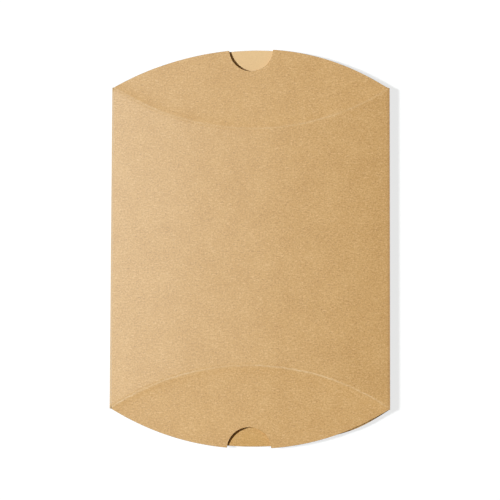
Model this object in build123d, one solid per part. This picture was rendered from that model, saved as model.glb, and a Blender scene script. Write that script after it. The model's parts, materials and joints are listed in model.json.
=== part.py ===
from build123d import *
import os
from math import asin, cos, degrees, radians, sin, sqrt, tan

# Pillow box of brown card, lying nearly flat on its back, in millimetres.
# X is across the box, Y runs from the foot end to the head end, and +Z is up. The origin is under
# the middle, on the surface that the box lies on.
# The card bends along straight lines that run the length of the box, so each layer is made of flat
# strips that turn against each other on their inner faces. The blank is laid out flat first: its
# x is the distance along the card, and each strip is then turned and moved to its place.

# Outline of the box
box_width = 110.0
side_length = 126.6
crease_sagitta = 16.4
front_tip_sagitta = 15.4
back_tip_sagitta = 15.0

# Card
card_thickness = 0.42
side_fold_radius = 0.375

# Bow of the two layers, as strips
strips_each_side = 2
bow_angle = 1.4
opening_angle = 13.6
strip_gap = 0.2
flap_tip_gap = 0.4
slit_spare_share = 0.3
fold_spare_angle = 10.0

# Thumb notches in the front flaps
notch_radius = 8.7
notch_depth = 8.6
head_notch_offset = 0.45
foot_notch_offset = -0.45

# Glue flap inside the right edge
glue_flap_width = 12.0
glue_flap_end_inset = 3.5
glue_flap_end_angle = 30.0
glue_thickness = 0.05
glue_margin = 1.5

# Sizes worked out from the values above
strip_numbers = range(-strips_each_side, strips_each_side + 1)
edge_angle = bow_angle * strips_each_side
fold_axis_x = box_width / 2 - side_fold_radius - card_thickness
layer_edge_x = fold_axis_x + side_fold_radius * sin(radians(edge_angle))
run_factor = 1 / 2 + sum(cos(radians(bow_angle * n)) for n in range(1, strips_each_side + 1))
rise_factor = sum(sin(radians(bow_angle * n)) for n in range(1, strips_each_side + 1))
strip_width = layer_edge_x / run_factor
flat_half_width = strip_width * (strips_each_side + 1 / 2)
layer_rise = strip_width * rise_factor
mid_height = card_thickness + layer_rise + side_fold_radius * cos(radians(edge_angle))
inner_gap = 2 * (mid_height - card_thickness)
front_flap_length = crease_sagitta + front_tip_sagitta
flap_drop_share = (inner_gap - flap_tip_gap) / (2 * front_flap_length)
slit_growth = (1 + slit_spare_share) * flap_drop_share * sin(radians(opening_angle)) / 2
fold_opening = 2 * strips_each_side * opening_angle


def arc_radius(sagitta):
    return (flat_half_width**2 + sagitta**2) / (2 * sagitta)


def crease_y(x):
    """Height of the head crease on the blank, lowest at the middle."""
    radius = arc_radius(crease_sagitta)
    return side_length / 2 - crease_sagitta + radius - sqrt(radius**2 - x**2)


def strip_start(number):
    return strip_width * (number - 1 / 2)


def panel_blank():
    """The panel between its two curved creases, laid flat."""
    corner = side_length / 2
    valley = corner - crease_sagitta
    head = ThreePointArc((-flat_half_width, corner), (0, valley), (flat_half_width, corner))
    foot = ThreePointArc((flat_half_width, -corner), (0, -valley), (-flat_half_width, -corner))
    return make_face([head, Line(head @ 1, foot @ 0), foot, Line(foot @ 1, head @ 0)])


def flap_blank(tip_sagitta):
    """The head flap between the crease and its free edge, laid flat."""
    corner = side_length / 2
    ends = (-flat_half_width, corner), (flat_half_width, corner)
    crease = ThreePointArc(ends[0], (0, corner - crease_sagitta), ends[1])
    edge = ThreePointArc(ends[1], (0, corner + tip_sagitta), ends[0])
    return make_face([crease, edge])


def thumb_notch(offset):
    centre_y = side_length / 2 + front_tip_sagitta - notch_depth + notch_radius
    return Pos(offset, centre_y) * Circle(notch_radius)


def side_trims(number, growth):
    """How far a strip stays inside its two borders, at its corners and where growth widens it."""
    left = 0 if number == strip_numbers[0] else 1
    right = 0 if number == strip_numbers[-1] else 1
    return left * (strip_gap / 2 + growth), right * (strip_gap / 2 + growth)


def panel_window(number):
    left, right = side_trims(number, 0)
    start = strip_start(number) + left
    end = strip_start(number) + strip_width - right
    reach = side_length
    return make_face(Polyline((start, -reach), (end, -reach), (end, reach), (start, reach), close=True))


def flap_window(number):
    """The strip's outline on a flap: its slits widen from the crease towards the tip."""
    low = side_length / 2 - crease_sagitta
    high = side_length / 2 + front_tip_sagitta
    near = side_trims(number, 0)
    far = side_trims(number, (high - low) * slit_growth)
    start = strip_start(number)
    end = start + strip_width
    corners = [
        (start + near[0], low),
        (end - near[1], low),
        (end - far[1], high),
        (start + far[0], high),
    ]
    return make_face(Polyline(*corners, close=True))


def plate(outline):
    """Card under the outline: its inner face is at zero and its outer face is below."""
    return extrude(outline, amount=card_thickness, dir=(0, 0, -1))


def tip_in(flap, number):
    """Turns a flap strip inwards about the straight line across its piece of the crease."""
    left = Vector(strip_start(number), crease_y(strip_start(number)))
    right = Vector(strip_start(number + 1), crease_y(strip_start(number + 1)))
    chord = right - left
    turn = degrees(asin(flap_drop_share * chord.length / chord.X))
    return flap.rotate(Axis(left, chord), turn)


def put_in_bow(shape, number):
    """Moves a piece of the flat back layer to its strip's place in the bow."""
    side = -1 if number < 0 else 1
    inner = [radians(bow_angle * n) for n in range(1, abs(number))]
    own = radians(bow_angle * abs(number))
    run = 0 if number == 0 else strip_width * ((1 + cos(own)) / 2 + sum(cos(a) for a in inner))
    rise = strip_width * (sin(own) / 2 + sum(sin(a) for a in inner))
    middle = Pos(-strip_width * number, 0, 0) * shape
    return Pos(side * run, 0, card_thickness + rise) * Rot(0, -bow_angle * number, 0) * middle


def to_front(shape):
    return mirror(shape, about=Plane.XY.offset(mid_height))


def to_foot(shape):
    return mirror(shape, about=Plane.XZ)


def flap_strip(number, tip_sagitta, notch_offset=None):
    outline = flap_blank(tip_sagitta) & flap_window(number)
    if notch_offset is not None:
        outline = outline - thumb_notch(notch_offset)
    return put_in_bow(tip_in(plate(outline), number), number)


def back_strip(number):
    flap = flap_strip(number, back_tip_sagitta)
    return {
        "panel": put_in_bow(plate(panel_blank() & panel_window(number)), number),
        "head_flap": flap,
        "foot_flap": to_foot(flap),
    }


def front_strip(number):
    panel = put_in_bow(plate(panel_blank() & panel_window(number)), number)
    head = flap_strip(number, front_tip_sagitta, head_notch_offset)
    foot = to_foot(flap_strip(number, front_tip_sagitta, foot_notch_offset))
    return {"panel": to_front(panel), "head_flap": to_front(head), "foot_flap": to_front(foot)}


def right_fold():
    """The rounded side fold, from the back layer up to where the opened front layer comes."""
    start = edge_angle - 90
    sweep = 180 - 2 * edge_angle - fold_opening - fold_spare_angle
    outer = CenterArc((0, 0), side_fold_radius + card_thickness, start, sweep)
    inner = CenterArc((0, 0), side_fold_radius, start, sweep)
    section = make_face([outer, Line(outer @ 1, inner @ 1), inner, Line(inner @ 0, outer @ 0)])
    length = extrude(Plane.XZ * section, amount=side_length / 2, both=True)
    return Pos(fold_axis_x, 0, mid_height) * length


def left_fold():
    return mirror(right_fold(), about=Plane.YZ)


def glue_shape(margin, bottom, thickness):
    """A flat piece with slanted ends along the right edge, inside the layer."""
    slant = tan(radians(glue_flap_end_angle))
    outer_x = flat_half_width - margin
    inner_x = flat_half_width - glue_flap_width + margin
    outer_y = side_length / 2 - glue_flap_end_inset - margin
    inner_y = outer_y - (outer_x - inner_x) * slant
    corners = [(outer_x, -outer_y), (outer_x, outer_y), (inner_x, inner_y), (inner_x, -inner_y)]
    outline = make_face(Polyline(*corners, close=True))
    flat = Pos(0, 0, bottom) * extrude(outline, amount=thickness, dir=(0, 0, 1))
    return to_front(put_in_bow(flat, strips_each_side))


def save(name, shape):
    solid = shape.solid()
    solid.label = name
    export_step(solid, f"parts/{name}.step")


os.makedirs("parts", exist_ok=True)
for number in strip_numbers:
    place = number + strips_each_side + 1
    for layer, pieces in (("back", back_strip(number)), ("front", front_strip(number))):
        for piece, shape in pieces.items():
            save(f"{layer}_{piece}_{place}", shape)
save("left_fold", left_fold())
save("right_fold", right_fold())
save("glue_line", glue_shape(glue_margin, 0, glue_thickness))
save("glue_flap", glue_shape(0, glue_thickness, card_thickness))
print(f"strip width {strip_width:.3f}, middle height {mid_height:.3f}, inner gap {inner_gap:.3f}")
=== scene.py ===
import json
import math

import bpy
from mathutils import Matrix, Vector


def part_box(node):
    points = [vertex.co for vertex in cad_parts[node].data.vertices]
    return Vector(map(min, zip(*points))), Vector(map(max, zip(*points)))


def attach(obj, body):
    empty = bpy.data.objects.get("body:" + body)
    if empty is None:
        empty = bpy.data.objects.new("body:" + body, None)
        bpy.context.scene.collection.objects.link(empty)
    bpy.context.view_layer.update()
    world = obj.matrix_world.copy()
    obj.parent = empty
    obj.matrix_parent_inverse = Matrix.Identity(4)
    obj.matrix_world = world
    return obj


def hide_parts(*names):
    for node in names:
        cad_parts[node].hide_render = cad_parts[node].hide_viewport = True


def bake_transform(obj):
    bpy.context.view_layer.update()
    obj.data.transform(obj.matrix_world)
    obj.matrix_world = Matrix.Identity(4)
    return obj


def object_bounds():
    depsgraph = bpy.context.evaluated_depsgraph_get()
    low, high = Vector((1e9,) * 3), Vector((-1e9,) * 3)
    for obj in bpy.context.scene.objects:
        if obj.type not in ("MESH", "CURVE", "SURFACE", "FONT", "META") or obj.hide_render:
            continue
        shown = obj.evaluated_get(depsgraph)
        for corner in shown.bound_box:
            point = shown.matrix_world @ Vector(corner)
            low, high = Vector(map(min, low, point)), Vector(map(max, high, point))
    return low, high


# The pillow box's card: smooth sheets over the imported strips, in metres.
# A sheet's points are laid out on the flat blank, s across the box and y along it, and then bent
# into the bow. Each layer is cut at the middles of its strips, so that every piece either rides on
# one strip or blends over the bend between two.
# Names in capitals are chosen values. The others are read from the frame or worked out.
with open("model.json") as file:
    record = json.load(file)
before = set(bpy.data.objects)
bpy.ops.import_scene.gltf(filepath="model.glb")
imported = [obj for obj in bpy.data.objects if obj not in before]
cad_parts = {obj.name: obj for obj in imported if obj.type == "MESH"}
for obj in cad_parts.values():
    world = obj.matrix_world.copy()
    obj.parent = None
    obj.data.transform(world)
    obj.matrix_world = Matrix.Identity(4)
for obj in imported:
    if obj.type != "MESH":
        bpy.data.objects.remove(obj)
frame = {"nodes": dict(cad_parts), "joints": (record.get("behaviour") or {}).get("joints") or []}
cad_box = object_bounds()

MM = 0.001
STRIPS = 5

# Blank and bow, read from the frame
joints = {joint["name"]: joint for joint in frame["joints"]}
inner_bend = joints["back_bend_right_inner"]["pos_m"]
fold_axis = joints["pop_open"]["pos_m"]
card = inner_bend[2]
strip_width = 2 * inner_bend[0]
mid_z = fold_axis[2]
fold_x = -fold_axis[0]
corner_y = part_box("back_panel_1")[1].y
flat_half = strip_width * STRIPS / 2
fold_radius = cad_box[1].x - fold_x - card
bow_rise = mid_z - card - fold_radius
edge_tilt = math.atan(2 * bow_rise / flat_half)

# Curved creases, each end moved towards the middle by its inset
CREASE_SAGITTA = 16.4 * MM
CREASE_INSET = {"head": 0.05 * MM, "foot": 0.7 * MM}

# Free edges of the flaps. The spares push an edge out halfway between its middle and its corner,
# and the bulge does so near the right corner of the back foot flap
EDGE_SAGITTA = {
    "front": {"head": 15.4 * MM, "foot": 15.4 * MM},
    "back": {"head": 15.0 * MM, "foot": 14.6 * MM},
}
LEFT_SPARE = {"head": -0.5 * MM, "foot": 0.0 * MM}
RIGHT_SPARE = {"head": 0.5 * MM, "foot": 0.22 * MM}
BACK_BULGE = 1.0 * MM
BACK_BULGE_SHARE = 0.78
BACK_BULGE_SPREAD_SHARE = 0.2
FLAP_TIP_GAP = 0.2 * MM
FLAP_SETTLE = 0.25 * MM
SETTLE_LENGTH = 2.5 * MM

# Thumb notches in the front flaps
NOTCH_RADIUS = 8.7 * MM
NOTCH_DEPTH = {"head": 8.8 * MM, "foot": 8.4 * MM}
NOTCH_OFFSET = {"head": -0.05 * MM, "foot": -0.35 * MM}

# Fine shape of the card
EDGE_REACH_SHARE = 0.05
GROOVE_DEPTH = 0.055 * MM
GROOVE_WIDTH = 0.45 * MM
GROOVE_INSIDE_SHARE = 0.6
WAVE_HEIGHT = 0.035 * MM
WAVE_LENGTH = 47 * MM
WAVE_SLANT = 0.6
CROSS_WAVE_SHARE = 0.7
CROSS_WAVE_SLANT = 0.4
WAVE_FADE_POWER = 4
EDGE_ROUND = 0.05 * MM
FRONT_OVERHANG = 0.5 * MM
RIGHT_FOLD_RADIUS = 0.43 * MM
RIGHT_FOLD_END = math.radians(150)

# Glue flap
GLUE_THICKNESS = 0.05 * MM
GLUE_FLAP_WIDTH = 12 * MM
GLUE_FLAP_SHORT = 0.2 * MM
GLUE_FLAP_INSET = 3.5 * MM
GLUE_FLAP_SLANT = math.tan(math.radians(30))

# Steps of the meshes
SLOPE_STEP = 0.1 * MM
COLUMN_STEP = 1.1 * MM
COLUMN_GAP = 0.02 * MM
NOTCH_STEPS = 18
NOTCH_REACH_SHARE = 0.9995
FLAP_SHARES = [0, 0.006, 0.012, 0.02, 0.032, 0.05, 0.08] + [0.12 + 0.055 * n for n in range(17)]
CREASE_DISTANCES = [0.2 * MM, 0.4 * MM, 0.65 * MM, 1.0 * MM]
CREASE_MARGIN = 1.5 * MM
PANEL_STEPS = 96
FOLD_STEPS = 12
FOLD_LENGTH_STEP = 2.2 * MM
GLUE_FLAP_STEPS = 80

# Colours as they look, from 0 to 255
KRAFT = (205, 162, 97)
KRAFT_LIGHT = (228, 191, 136)
KRAFT_DARK = (155, 107, 52)
# Painted shade: the grey-brown that darkens the side folds
PAINTED_FOLD_SHADE = (176, 150, 114)
# Painted light: the pale colour the inside face is drawn towards, more at the head end than at the
# foot
PAINTED_INSIDE_LIGHT = (245, 217, 174)
CREASE_PALE = (236, 212, 172)
# Dark brown of the cut edges, partly their own colour and partly painted shade
CUT_EDGE_AND_SHADE = (126, 84, 40)
GLUE = (226, 214, 186)

# Noise of the card as scale, detail, roughness and distortion. Scales are for one millimetre
MOTTLE_NOISE = (0.11, 4.0, 0.62)
GRAIN_NOISE = (2.4, 4.0, 0.7)
PULP_NOISE = (1.6, 3.0, 0.6)
WOBBLE_NOISE = (0.35, 3.0, 0.6)
BROKEN_NOISE = (0.9, 3.0, 0.65)
FAR_NOISE = (0.045, 2.0, 0.5)
STRAND_NOISE = (1.0, 1.5, 0.55, 0.35)
STRETCHED_NOISE = (1.0, 3.0, 0.6)
NOISE_RANGE = (0.3, 0.7)

# Fibres of the card: turns in radians, sizes in millimetres, and the noise value they start at
LIGHT_STRANDS = {"turns": (0.3, 1.25, 2.2, 2.9), "length": 1.9, "width": 0.34, "cut": 0.6}
DARK_STRANDS = {"turns": (0.75, 1.75, 2.6), "length": 1.6, "width": 0.3, "cut": 0.635}
STRAND_SOFTNESS = 0.09
STRAND_SHIFT = (7.3, 3.1)

# Tone of the card's face
MOTTLE_TONE = 0.13
PULP_TONE = 0.45
GRAIN_TONE = 0.28
LIGHT_STRAND_SHARE = 0.6
DARK_STRAND_SHARE = 0.65
DARK_SHARE = 0.7
# Painted shade along the right edge of the blank: how far it draws the colour to the dark kraft, and
# its width in millimetres
PAINTED_EDGE_SHADE_SHARE = 0.3
PAINTED_EDGE_SHADE_WIDTH = 0.7

# Pale lines along the creases, in millimetres from each line, and how far they are broken
CREASE_WOBBLE = 0.16
CREASE_REACH = 0.42
CREASE_CORE = 0.08
CREASE_SHOW = {"head": 0.55, "foot": 0.9}
CREASE_SHARE = 0.55
BROKEN_RANGE = (0.36, 0.58, 0.4, 1.0)
FAR_RANGE = (0.42, 0.6, 0.5, 1.0)

# Relief and gloss of the card
GRAIN_RELIEF_SHARE = 0.6
STRAND_RELIEF_SHARE = 0.35
PULP_RELIEF_SHARE = 0.5
RELIEF_HEIGHT = 0.02 * MM
CARD_ROUGHNESS = (0.44, 0.54)
CARD_SHEEN = 0.35
FOLD_SHEEN = 0.3
INSIDE_SHEEN = 0.0

# Shares of the painted shade on the side folds and of the painted light on the inside, at the foot
# end and at the head end
PAINTED_FOLD_SHADE_SHARES = (0.8, 0.8)
PAINTED_INSIDE_LIGHT_SHARES = (0.12, 0.73)

# Cut edges and dried glue
EDGE_STRETCH = (0.8, 0.8, 9.0)
EDGE_RANGE = (0.35, 0.65, 0.0, 0.35)
EDGE_RELIEF_HEIGHT = 0.03 * MM
EDGE_ROUGHNESS = 0.9
EDGE_SHEEN = 0.0
SMEAR_STRETCH = (0.8, 0.12, 0.8)
SMEAR_HEIGHT = 0.02 * MM
GLUE_ROUGHNESS = 0.35

# Table and world
TABLE_HALF = 2.0
TABLE_DROP = 0.02 * MM
TABLE_COLOUR = (0.315, 0.325, 0.335)
TABLE_ROUGHNESS = 0.9
TABLE_SHEEN = 0.0
TABLE_GLOW = 0.767
TABLE_GLOW_COLOUR = (0.97, 0.987, 1.0)
WORLD_LEVEL = 0.135
WORLD_COLOUR = (1.1, 0.78, 0.42)
WHITE = (1.0, 1.0, 1.0, 1.0)

# Lamps: the key lights the box, and the gloss lamp only adds its sheen
KEY_PLACE = (-2.64, 0.065, 2.05)
KEY_SIZE = 0.58
KEY_POWER = 145
KEY_COLOUR = (1.0, 1.01, 0.985)
GLOSS_PLACE = (-0.4, 0.12, 1.04)
GLOSS_SIZE = 0.4
GLOSS_POWER = 15
GLOSS_COLOUR = (0.62, 1.05, 1.3)

# Camera
CAMERA_HEIGHT = 0.7
CAMERA_TILT = math.radians(3.6)
CAMERA_ROLL = math.radians(0.2)
CAMERA_SENSOR = 36
PHOTO_WIDTH = 197.2 * MM
AIM = (-0.24 * MM, -0.9 * MM, mid_z)

# One UV unit is this much card
UV_SPAN = 200 * MM

# Places of a piece's materials
FACE, CUT, INSIDE = range(3)

# Worked out from the values above
arc_radius = (flat_half**2 + CREASE_SAGITTA**2) / (2 * CREASE_SAGITTA)
x_share = (fold_x + fold_radius * EDGE_REACH_SHARE) / flat_half
flap_length = CREASE_SAGITTA + EDGE_SAGITTA["front"]["head"]
flap_end_y = corner_y + EDGE_SAGITTA["front"]["head"]
drop_share = (bow_rise + fold_radius - FLAP_SETTLE - FLAP_TIP_GAP / 2) / flap_length


def arc_y(s, sagitta, outward):
    """Distance of an arc through the corners from the box's middle, bulging in or out by sagitta."""
    s = max(-flat_half, min(s, flat_half))
    radius = (flat_half**2 + sagitta**2) / (2 * sagitta)
    bulge = sagitta - radius + math.sqrt(max(radius**2 - s**2, 0))
    return corner_y + (bulge if outward else -bulge)


def crease_at(s, end):
    return arc_y(s, CREASE_SAGITTA, False) - CREASE_INSET[end]


def end_of(y):
    return "head" if y > 0 else "foot"


def edge_at(s, layer, end):
    """Free edge of a flap, with its thumb notch where the layer has one."""
    spare = LEFT_SPARE[end] if s < 0 else RIGHT_SPARE[end]
    edge = arc_y(s, EDGE_SAGITTA[layer][end], True)
    edge += spare * abs(math.sin(math.pi * s / flat_half))
    if layer == "back" and end == "foot":
        away = (s / flat_half - BACK_BULGE_SHARE) / BACK_BULGE_SPREAD_SHARE
        edge += BACK_BULGE * math.exp(-(away**2))
    offset = s - NOTCH_OFFSET[end]
    reach = NOTCH_RADIUS**2 - offset**2
    if layer == "back" or reach <= 0:
        return edge
    centre = corner_y + EDGE_SAGITTA[layer][end] - NOTCH_DEPTH[end] + NOTCH_RADIUS
    return min(edge, centre - math.sqrt(reach))


def height_at(s, y):
    """Height of a layer's inner face over the plane between the layers."""
    share = s / flat_half
    bow = fold_radius + bow_rise * (1 - share * share)
    beyond = max(abs(y) - crease_at(s, end_of(y)), 0)
    return bow - beyond * drop_share - FLAP_SETTLE * (1 - math.exp(-beyond / SETTLE_LENGTH))


def groove_at(s, y):
    distance = (abs(y) - crease_at(s, end_of(y))) / GROOVE_WIDTH
    return GROOVE_DEPTH * math.exp(-distance * distance)


def wave_at(s, y):
    turn = 2 * math.pi / WAVE_LENGTH
    fade = max(0, 1 - (s / flat_half) ** WAVE_FADE_POWER)
    wave = math.sin(turn * (s + WAVE_SLANT * y))
    cross = math.cos(turn * (CROSS_WAVE_SHARE * y - CROSS_WAVE_SLANT * s))
    return WAVE_HEIGHT * fade * wave * cross


def point_on(s, y, depth, side):
    """A point of a sheet: depth 0 is its inner face and 1 its outer face, side -1 is the back."""
    step = SLOPE_STEP
    slope_s = (height_at(s + step, y) - height_at(s - step, y)) / (2 * step)
    slope_y = (height_at(s, y + step) - height_at(s, y - step)) / (2 * step)
    normal = Vector((-slope_s, -slope_y, 1)).normalized()
    pressed = GROOVE_INSIDE_SHARE + (1 - GROOVE_INSIDE_SHARE) * depth
    lift = card * depth + wave_at(s, y) - groove_at(s, y) * pressed
    place = Vector((s * x_share, y, height_at(s, y))) + normal * lift
    return Vector((place.x, place.y, mid_z + side * place.z))


def spread(start, end, step):
    count = max(1, round((end - start) / step))
    return [start + (end - start) * n / count for n in range(count + 1)]


def notch_columns():
    """Columns that crowd towards the steep sides of both notches."""
    columns = []
    for offset in NOTCH_OFFSET.values():
        for n in range(-NOTCH_STEPS, NOTCH_STEPS + 1):
            turn = math.radians(90 * n / NOTCH_STEPS)
            columns.append(offset + NOTCH_RADIUS * NOTCH_REACH_SHARE * math.sin(turn))
    return columns


def columns_between(start, end, layer):
    columns = spread(start, end, COLUMN_STEP)
    if layer == "front":
        columns += [s for s in notch_columns() if start < s < end]
    columns.sort()
    kept = [columns[0]]
    for s in columns[1:]:
        if s - kept[-1] > COLUMN_GAP:
            kept.append(s)
    kept[-1] = end
    return kept


def rows_at(s, layer):
    """Places along one column, from the foot edge to the head edge, crowded at the creases."""
    foot = crease_at(s, "foot")
    head = crease_at(s, "head")
    foot_flap = edge_at(s, layer, "foot") - foot
    head_flap = edge_at(s, layer, "head") - head
    panel_step = (foot + head - 2 * CREASE_MARGIN) / PANEL_STEPS
    rows = [-foot - foot_flap * share for share in reversed(FLAP_SHARES)]
    rows += [-foot + distance for distance in CREASE_DISTANCES]
    rows += spread(CREASE_MARGIN - foot, head - CREASE_MARGIN, panel_step)
    rows += [head - distance for distance in reversed(CREASE_DISTANCES)]
    rows += [head + head_flap * share for share in FLAP_SHARES]
    return rows


class Sheet:
    """Collects the points, faces and blank places of one piece of card."""

    def __init__(self):
        self.points = []
        self.places = []
        self.faces = []
        self.slots = []

    def add(self, point, s, y):
        self.points.append(point)
        self.places.append((s, y))
        return len(self.points) - 1

    def again(self, row):
        """The same points once more, so that a wall meets a face in a sharp edge."""
        return [self.add(self.points[point], *self.places[point]) for point in row]

    def quad(self, corners, flip, slot):
        self.faces.append(tuple(reversed(corners)) if flip else tuple(corners))
        self.slots.append(slot)

    def grid(self, lines, flip, slot=FACE):
        for left, right in zip(lines, lines[1:]):
            for n in range(len(left) - 1):
                self.quad((left[n], right[n], right[n + 1], left[n + 1]), flip, slot)

    def build(self, name, materials):
        mesh = bpy.data.meshes.new(name)
        mesh.from_pydata([tuple(p) for p in self.points], [], self.faces)
        layer = mesh.uv_layers.new(name="card")
        for loop in mesh.loops:
            s, y = self.places[loop.vertex_index]
            layer.data[loop.index].uv = (0.5 + s / UV_SPAN, 0.5 + y / UV_SPAN)
        for material in materials:
            mesh.materials.append(material)
        for polygon, slot in zip(mesh.polygons, self.slots):
            polygon.material_index = slot
            polygon.use_smooth = True
        mesh.update()
        piece = bpy.data.objects.new(name, mesh)
        bpy.context.scene.collection.objects.link(piece)
        return piece


def rim(sheet, path, outer, inner, flip):
    """Cut edge of the card along a path of (s, y): a wall with its two corners eased."""
    rows = [sheet.again(outer)]
    for share in (1 - EDGE_ROUND / card, EDGE_ROUND / card):
        row = []
        for n, (s, y) in enumerate(path):
            before = path[max(n - 1, 0)]
            after = path[min(n + 1, len(path) - 1)]
            along = Vector((after[0] - before[0], after[1] - before[1], 0)).normalized()
            out = Vector((along.y, -along.x, 0)) * (1 if flip else -1)
            place = sheet.points[inner[n]].lerp(sheet.points[outer[n]], share)
            row.append(sheet.add(place + out * EDGE_ROUND, s, y))
        rows.append(row)
    rows.append(sheet.again(inner))
    return rows


def layer_piece(name, layer, start, end, materials):
    """One stretch of a layer between two places across the blank."""
    side = 1 if layer == "front" else -1
    sheet = Sheet()
    columns = columns_between(start, end, layer)
    rows = [rows_at(s, layer) for s in columns]
    shells = []
    for depth in (0, 1):
        lines = []
        for s, row in zip(columns, rows):
            lines.append([sheet.add(point_on(s, y, depth, side), s, y) for y in row])
        shells.append(lines)
    inner, outer = shells
    sheet.grid(outer, side < 0)
    sheet.grid(inner, side > 0, INSIDE)
    for last in (0, -1):
        path = [(s, row[last]) for s, row in zip(columns, rows)]
        edges = [[line[last] for line in shell] for shell in (outer, inner)]
        wall = rim(sheet, path, *edges, last == 0)
        sheet.grid(wall, (last == 0) == (side > 0), CUT)
    if layer == "front" and end >= flat_half:
        path = [(end, y) for y in rows[-1]]
        wall = rim(sheet, path, outer[-1], inner[-1], True)
        sheet.grid(wall, side > 0, CUT)
    return sheet.build(name, materials)


def fold_piece(name, side, outer_radius, sweep, materials):
    """Rounded side fold, from the back layer round towards the front one."""
    sheet = Sheet()
    drop = fold_radius + card - outer_radius
    centre = Vector((side * fold_x, 0, mid_z - drop))
    ys = spread(-corner_y, corner_y, FOLD_LENGTH_STEP)
    shells = []
    for radius in (outer_radius - card, outer_radius):
        lines = []
        for n in range(FOLD_STEPS + 1):
            turn = edge_tilt + (sweep - edge_tilt) * n / FOLD_STEPS
            place = Vector((side * math.sin(turn), 0, -math.cos(turn))) * radius
            s = side * (flat_half + radius * (turn - edge_tilt))
            lines.append([sheet.add(centre + place + Vector((0, y, 0)), s, y) for y in ys])
        shells.append(lines)
    inner, outer = shells
    sheet.grid(outer, side > 0)
    sheet.grid(inner, side < 0)
    for end in (0, -1):
        edges = [[line[end] for line in outer], [line[end] for line in inner]]
        sheet.grid(edges, (end == 0) == (side > 0), CUT)
    if side > 0:
        sheet.grid([outer[-1], inner[-1]], False, CUT)
    return sheet.build(name, materials)


def glue_flap_line(sheet, s, depth):
    """One line along the glue flap, at a depth under the inner face of the front layer."""
    reach = corner_y - GLUE_FLAP_INSET - (flat_half - s) * GLUE_FLAP_SLANT
    line = []
    for y in spread(-reach, reach, 2 * reach / GLUE_FLAP_STEPS):
        line.append(sheet.add(point_on(s, y, 0, 1) - Vector((0, 0, depth)), s, y))
    return line


def glue_flap_piece(name, materials):
    """The flap that is folded in at the right edge and glued under the front layer."""
    sheet = Sheet()
    columns = spread(flat_half - GLUE_FLAP_WIDTH, flat_half - GLUE_FLAP_SHORT, COLUMN_STEP)
    depths = (GLUE_THICKNESS, GLUE_THICKNESS + card)
    near, far = [[glue_flap_line(sheet, s, depth) for s in columns] for depth in depths]
    sheet.grid(near, False)
    sheet.grid(far, True)
    sheet.grid([near[0], far[0]], True, CUT)
    sheet.grid([near[-1], far[-1]], False, CUT)
    for end in (0, -1):
        edges = [[line[end] for line in near], [line[end] for line in far]]
        sheet.grid(edges, end != 0, CUT)
    return sheet.build(name, materials)


def linear(colour):
    """A colour as it looks, turned into light by the sRGB curve."""
    shares = [channel / 255 for channel in colour]
    return tuple(c / 12.92 if c <= 0.04045 else ((c + 0.055) / 1.055) ** 2.4 for c in shares) + (1,)


class Nodes:
    """Short calls for building the nodes of one material or world."""

    def __init__(self, owner):
        self.owner = owner
        owner.use_nodes = True
        self.tree = owner.node_tree

    def inputs(self, name):
        return self.tree.nodes[name].inputs

    def new(self, kind, **settings):
        node = self.tree.nodes.new(kind)
        for key, value in settings.items():
            setattr(node, key, value)
        return node

    def link(self, value, socket):
        if isinstance(value, bpy.types.NodeSocket):
            self.tree.links.new(value, socket)
        else:
            socket.default_value = value

    def link_all(self, node, values):
        for name, value in values.items():
            self.link(value, node.inputs[name])

    def math(self, operation, first, second=0.0, clamp=False):
        node = self.new("ShaderNodeMath", operation=operation, use_clamp=clamp)
        self.link(first, node.inputs[0])
        self.link(second, node.inputs[1])
        return node.outputs[0]

    def mapped(self, vector, scale, turn=0.0, shift=(0, 0, 0)):
        node = self.new("ShaderNodeMapping")
        settings = {"Location": shift, "Rotation": (0, 0, turn), "Scale": scale}
        self.link_all(node, {"Vector": vector, **settings})
        return node.outputs[0]

    def noise(self, vector, scale, detail, roughness, distortion=0.0):
        node = self.new("ShaderNodeTexNoise")
        settings = {"Scale": scale, "Detail": detail, "Roughness": roughness}
        self.link_all(node, {"Vector": vector, "Distortion": distortion, **settings})
        return node.outputs["Fac"]

    def ranged(self, value, low, high, to_low=0.0, to_high=1.0):
        node = self.new("ShaderNodeMapRange")
        settings = {"From Min": low, "From Max": high, "To Min": to_low, "To Max": to_high}
        self.link_all(node, {"Value": value, **settings})
        return node.outputs[0]

    def swing(self, noise, reach):
        """Noise as a value that swings by reach to either side of zero."""
        return self.ranged(noise, *NOISE_RANGE, -reach, reach)

    def mix(self, share, first, second):
        node = self.new("ShaderNodeMix", data_type="RGBA")
        self.link_all(node, {"Factor": share, "A": first, "B": second})
        return node.outputs["Result"]

    def bump(self, height, distance):
        node = self.new("ShaderNodeBump")
        self.link_all(node, {"Height": height, "Distance": distance, "Strength": 1.0})
        return node.outputs[0]

    def axis(self, vector, name):
        node = self.new("ShaderNodeSeparateXYZ")
        self.link(vector, node.inputs[0])
        return node.outputs[name]


def strands(nodes, place, turns, length, width, cut):
    """Thin short fibres lying at the given turns, as one mask."""
    total = 0.0
    for number, turn in enumerate(turns):
        shift = (STRAND_SHIFT[0] * number, STRAND_SHIFT[1] * number, 0)
        bent = nodes.mapped(place, (1 / length, 1 / width, 1), turn, shift)
        mask = nodes.ranged(nodes.noise(bent, *STRAND_NOISE), cut, cut + STRAND_SOFTNESS)
        total = nodes.math("MAXIMUM", total, mask)
    return total


def crease_line(nodes, place, wobble, side, end):
    """Mask of the line along one crease, from its distance to the centre of the crease's arc."""
    middle = UV_SPAN / MM / 2
    centre_y = (crease_at(0, end) + arc_radius) / MM
    node = nodes.new("ShaderNodeVectorMath", operation="DISTANCE")
    nodes.link(place, node.inputs[0])
    nodes.link((middle, middle + side * centre_y, 0), node.inputs[1])
    away = nodes.math("SUBTRACT", node.outputs["Value"], arc_radius / MM)
    away = nodes.math("ABSOLUTE", nodes.math("ADD", away, wobble))
    return nodes.ranged(away, CREASE_REACH, CREASE_CORE, 0.0, CREASE_SHOW[end])


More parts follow.
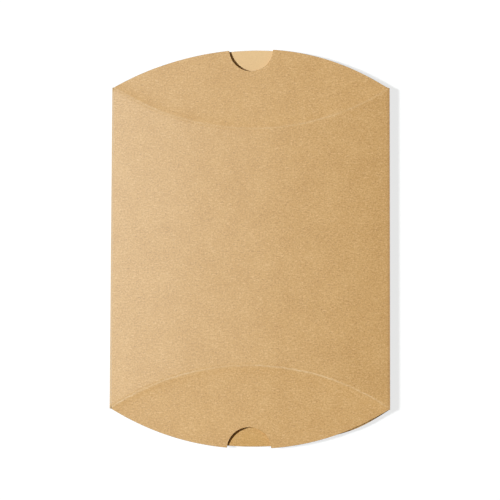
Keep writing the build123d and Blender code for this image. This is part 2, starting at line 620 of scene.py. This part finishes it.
def crease_mask(nodes, place):
    """Pale worn lines along the two curved creases, a little broken."""
    wobble = nodes.swing(nodes.noise(place, *WOBBLE_NOISE), CREASE_WOBBLE)
    foot = crease_line(nodes, place, wobble, -1, "foot")
    head = crease_line(nodes, place, wobble, 1, "head")
    broken = nodes.ranged(nodes.noise(place, *BROKEN_NOISE), *BROKEN_RANGE)
    far = nodes.ranged(nodes.noise(place, *FAR_NOISE), *FAR_RANGE)
    both = nodes.math("MAXIMUM", foot, head)
    return nodes.math("MULTIPLY", nodes.math("MULTIPLY", both, broken), far, True)


def kraft_tone(nodes, place, grain, pulp):
    """Pale and dark parts of the card, as a value round zero."""
    mottle = nodes.noise(place, *MOTTLE_NOISE)
    tone = nodes.math("ADD", nodes.swing(mottle, MOTTLE_TONE), nodes.swing(pulp, PULP_TONE))
    return nodes.math("ADD", tone, nodes.swing(grain, GRAIN_TONE))


def kraft_colour(nodes, place, tone, light):
    """Colour of the card's face, with its fibres, its creases and a painted shade at the right edge.
    """
    dark = strands(nodes, place, **DARK_STRANDS)
    pale = nodes.math("ADD", nodes.math("MULTIPLY", light, LIGHT_STRAND_SHARE), tone, True)
    deep = nodes.math("SUBTRACT", nodes.math("MULTIPLY", dark, DARK_STRAND_SHARE), tone, True)
    colour = nodes.mix(pale, linear(KRAFT), linear(KRAFT_LIGHT))
    colour = nodes.mix(nodes.math("MULTIPLY", deep, DARK_SHARE), colour, linear(KRAFT_DARK))
    crease = nodes.math("MULTIPLY", crease_mask(nodes, place), CREASE_SHARE)
    colour = nodes.mix(crease, colour, linear(CREASE_PALE))
    # Painted shade: the colour darkens towards the dark kraft over the last part of the blank before
    # its right edge
    edge_x = (UV_SPAN / 2 + flat_half) / MM
    edge = edge_x - PAINTED_EDGE_SHADE_WIDTH, edge_x
    shade = nodes.ranged(nodes.axis(place, "X"), *edge, 0.0, PAINTED_EDGE_SHADE_SHARE)
    return nodes.mix(shade, colour, linear(KRAFT_DARK))


def kraft_material(name, sheen, tint=None, tint_shares=None):
    """Brown card, drawn towards a tint of painted light or shade by its shares at the foot end and
    at the head end.
    """
    nodes = Nodes(bpy.data.materials.new(name))
    uv = nodes.new("ShaderNodeUVMap", uv_map="card").outputs[0]
    place = nodes.mapped(uv, (UV_SPAN / MM,) * 3)
    grain = nodes.noise(place, *GRAIN_NOISE)
    pulp = nodes.noise(place, *PULP_NOISE)
    light = strands(nodes, place, **LIGHT_STRANDS)
    colour = kraft_colour(nodes, place, kraft_tone(nodes, place, grain, pulp), light)
    # The tint is painted light or shade, spread from the foot end to the head end
    if tint:
        ends = [(UV_SPAN / 2 + side * flap_end_y) / MM for side in (-1, 1)]
        share = nodes.ranged(nodes.axis(place, "Y"), *ends, *tint_shares)
        colour = nodes.mix(share, colour, linear(tint))
    grains = nodes.math("MULTIPLY", grain, GRAIN_RELIEF_SHARE)
    relief = nodes.math("ADD", grains, nodes.math("MULTIPLY", light, STRAND_RELIEF_SHARE))
    relief = nodes.math("ADD", relief, nodes.math("MULTIPLY", pulp, PULP_RELIEF_SHARE))
    shader = nodes.inputs("Principled BSDF")
    nodes.link(colour, shader["Base Color"])
    nodes.link(nodes.bump(relief, RELIEF_HEIGHT), shader["Normal"])
    nodes.link(nodes.ranged(grain, *NOISE_RANGE, *CARD_ROUGHNESS), shader["Roughness"])
    nodes.link(sheen, shader["Specular IOR Level"])
    return nodes.owner


def stretched_noise(nodes, stretch):
    """Noise drawn out along the piece's own axes, for edges and glue."""
    place = nodes.mapped(nodes.new("ShaderNodeTexCoord").outputs["Object"], (1 / MM,) * 3)
    return nodes.noise(nodes.mapped(place, stretch), *STRETCHED_NOISE)


def edge_material():
    """Cut edge of the card: thin layers of fibre, darker than the face, partly as the edge's own
    colour and partly as painted shade in the thumb notches.
    """
    nodes = Nodes(bpy.data.materials.new("kraft_cut_edge"))
    layers = stretched_noise(nodes, EDGE_STRETCH)
    shader = nodes.inputs("Principled BSDF")
    share = nodes.ranged(layers, *EDGE_RANGE)
    nodes.link(nodes.mix(share, linear(CUT_EDGE_AND_SHADE), linear(KRAFT)), shader["Base Color"])
    nodes.link(nodes.bump(layers, EDGE_RELIEF_HEIGHT), shader["Normal"])
    nodes.link(EDGE_ROUGHNESS, shader["Roughness"])
    nodes.link(EDGE_SHEEN, shader["Specular IOR Level"])
    return nodes.owner


def glue_material():
    nodes = Nodes(bpy.data.materials.new("dried_glue"))
    smear = stretched_noise(nodes, SMEAR_STRETCH)
    shader = nodes.inputs("Principled BSDF")
    nodes.link(nodes.mix(smear, linear(GLUE), linear(KRAFT_LIGHT)), shader["Base Color"])
    nodes.link(nodes.bump(smear, SMEAR_HEIGHT), shader["Normal"])
    nodes.link(GLUE_ROUGHNESS, shader["Roughness"])
    return nodes.owner


def dress_layer(layer, materials):
    """Six pieces of one layer, cut at the middles of its five strips."""
    middles = [(n - (STRIPS - 1) / 2) * strip_width for n in range(STRIPS)]
    overhang = FRONT_OVERHANG if layer == "front" else 0
    cuts = [-flat_half] + middles + [flat_half + overhang]
    for n, (start, end) in enumerate(zip(cuts, cuts[1:])):
        piece = layer_piece(f"{layer}_card_{n + 1}", layer, start, end, materials)
        strip = min(n + 1, STRIPS)
        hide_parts(*[f"{layer}_{part}_{strip}" for part in ("panel", "head_flap", "foot_flap")])
        if n in (0, STRIPS):
            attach(piece, f"{layer}_strip_{max(n, 1)}")
        else:
            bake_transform(piece)


def dress_folds(fold_materials, card_materials):
    sweep = math.pi - edge_tilt
    left = fold_piece("left_fold_card", -1, fold_radius + card, sweep, fold_materials)
    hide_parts("left_fold")
    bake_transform(left)
    right = fold_piece("right_fold_card", 1, RIGHT_FOLD_RADIUS, RIGHT_FOLD_END, fold_materials)
    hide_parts("right_fold")
    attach(right, "back_strip_5")
    flap = glue_flap_piece("glue_flap_card", card_materials)
    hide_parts("glue_flap")
    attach(flap, "front_strip_5")


def dress_glue():
    mesh = frame["nodes"]["glue_line"].data
    mesh.materials.clear()
    mesh.materials.append(glue_material())


def seen_directly(nodes):
    """1 for the rays that show the background: to the camera, or by way of metal or glass."""
    rays = nodes.new("ShaderNodeLightPath").outputs
    seen = nodes.math("MAXIMUM", rays["Is Camera Ray"], rays["Is Glossy Ray"])
    return nodes.math("MAXIMUM", seen, rays["Is Transmission Ray"])


def set_table():
    """White table under the box, bright to the camera but still holding the box's shadow."""
    nodes = Nodes(bpy.data.materials.new("white_table"))
    shader = nodes.inputs("Principled BSDF")
    nodes.link((*TABLE_COLOUR, 1), shader["Base Color"])
    nodes.link(TABLE_ROUGHNESS, shader["Roughness"])
    nodes.link(TABLE_SHEEN, shader["Specular IOR Level"])
    glow = nodes.math("MULTIPLY", seen_directly(nodes), TABLE_GLOW)
    nodes.link(glow, shader["Emission Strength"])
    nodes.link((*TABLE_GLOW_COLOUR, 1), shader["Emission Color"])
    corners = [(TABLE_HALF * x, TABLE_HALF * y, 0) for x, y in ((-1, -1), (1, -1), (1, 1), (-1, 1))]
    mesh = bpy.data.meshes.new("table")
    mesh.from_pydata(corners, [], [(0, 1, 2, 3)])
    mesh.materials.append(nodes.owner)
    table = bpy.data.objects.new("table", mesh)
    bpy.context.scene.collection.objects.link(table)
    table.location.z = -TABLE_DROP


def set_world():
    """White to the camera, and a low warm fill for the box."""
    world = bpy.data.worlds.new("studio")
    bpy.context.scene.world = world
    nodes = Nodes(world)
    seen = seen_directly(nodes)
    back = nodes.inputs("Background")
    nodes.link(nodes.math("MAXIMUM", seen, WORLD_LEVEL), back["Strength"])
    nodes.link(nodes.mix(seen, (*WORLD_COLOUR, 1), WHITE), back["Color"])


def add_lamp(name, place, size, power, colour):
    lamp = bpy.data.lights.new(name, "AREA")
    lamp.shape = "DISK"
    lamp.size = size
    lamp.energy = power
    lamp.color = colour
    holder = bpy.data.objects.new(name, lamp)
    holder.location = place
    holder.rotation_euler = (-Vector(place)).to_track_quat("-Z", "Y").to_euler()
    bpy.context.scene.collection.objects.link(holder)
    return holder


def set_camera():
    camera = bpy.data.cameras.new("camera")
    camera.sensor_width = CAMERA_SENSOR
    camera.lens = CAMERA_SENSOR * CAMERA_HEIGHT / PHOTO_WIDTH
    holder = bpy.data.objects.new("camera", camera)
    holder.location = (AIM[0], AIM[1] - CAMERA_HEIGHT * math.tan(CAMERA_TILT), CAMERA_HEIGHT)
    aim = Vector(AIM) - holder.location
    facing = aim.to_track_quat("-Z", "Y").to_matrix() @ Matrix.Rotation(CAMERA_ROLL, 3, "Z")
    holder.rotation_euler = facing.to_euler()
    bpy.context.scene.collection.objects.link(holder)
    bpy.context.scene.camera = holder


cut_edge = edge_material()
# The inside face is painted paler towards the head end, as light
inside = kraft_material("kraft_inside", INSIDE_SHEEN, PAINTED_INSIDE_LIGHT, PAINTED_INSIDE_LIGHT_SHARES)
card_materials = [kraft_material("kraft_card", CARD_SHEEN), cut_edge, inside]
# The side folds are painted darker, as shade
fold = kraft_material("kraft_fold", FOLD_SHEEN, PAINTED_FOLD_SHADE, PAINTED_FOLD_SHADE_SHARES)
dress_layer("back", card_materials)
dress_layer("front", card_materials)
dress_folds([fold, cut_edge], card_materials)
dress_glue()
set_table()
set_world()
add_lamp("key", KEY_PLACE, KEY_SIZE, KEY_POWER, KEY_COLOUR)
gloss = add_lamp("gloss", GLOSS_PLACE, GLOSS_SIZE, GLOSS_POWER, GLOSS_COLOUR)
gloss.visible_diffuse = False
set_camera()
bpy.context.scene.view_settings.view_transform = "Standard"
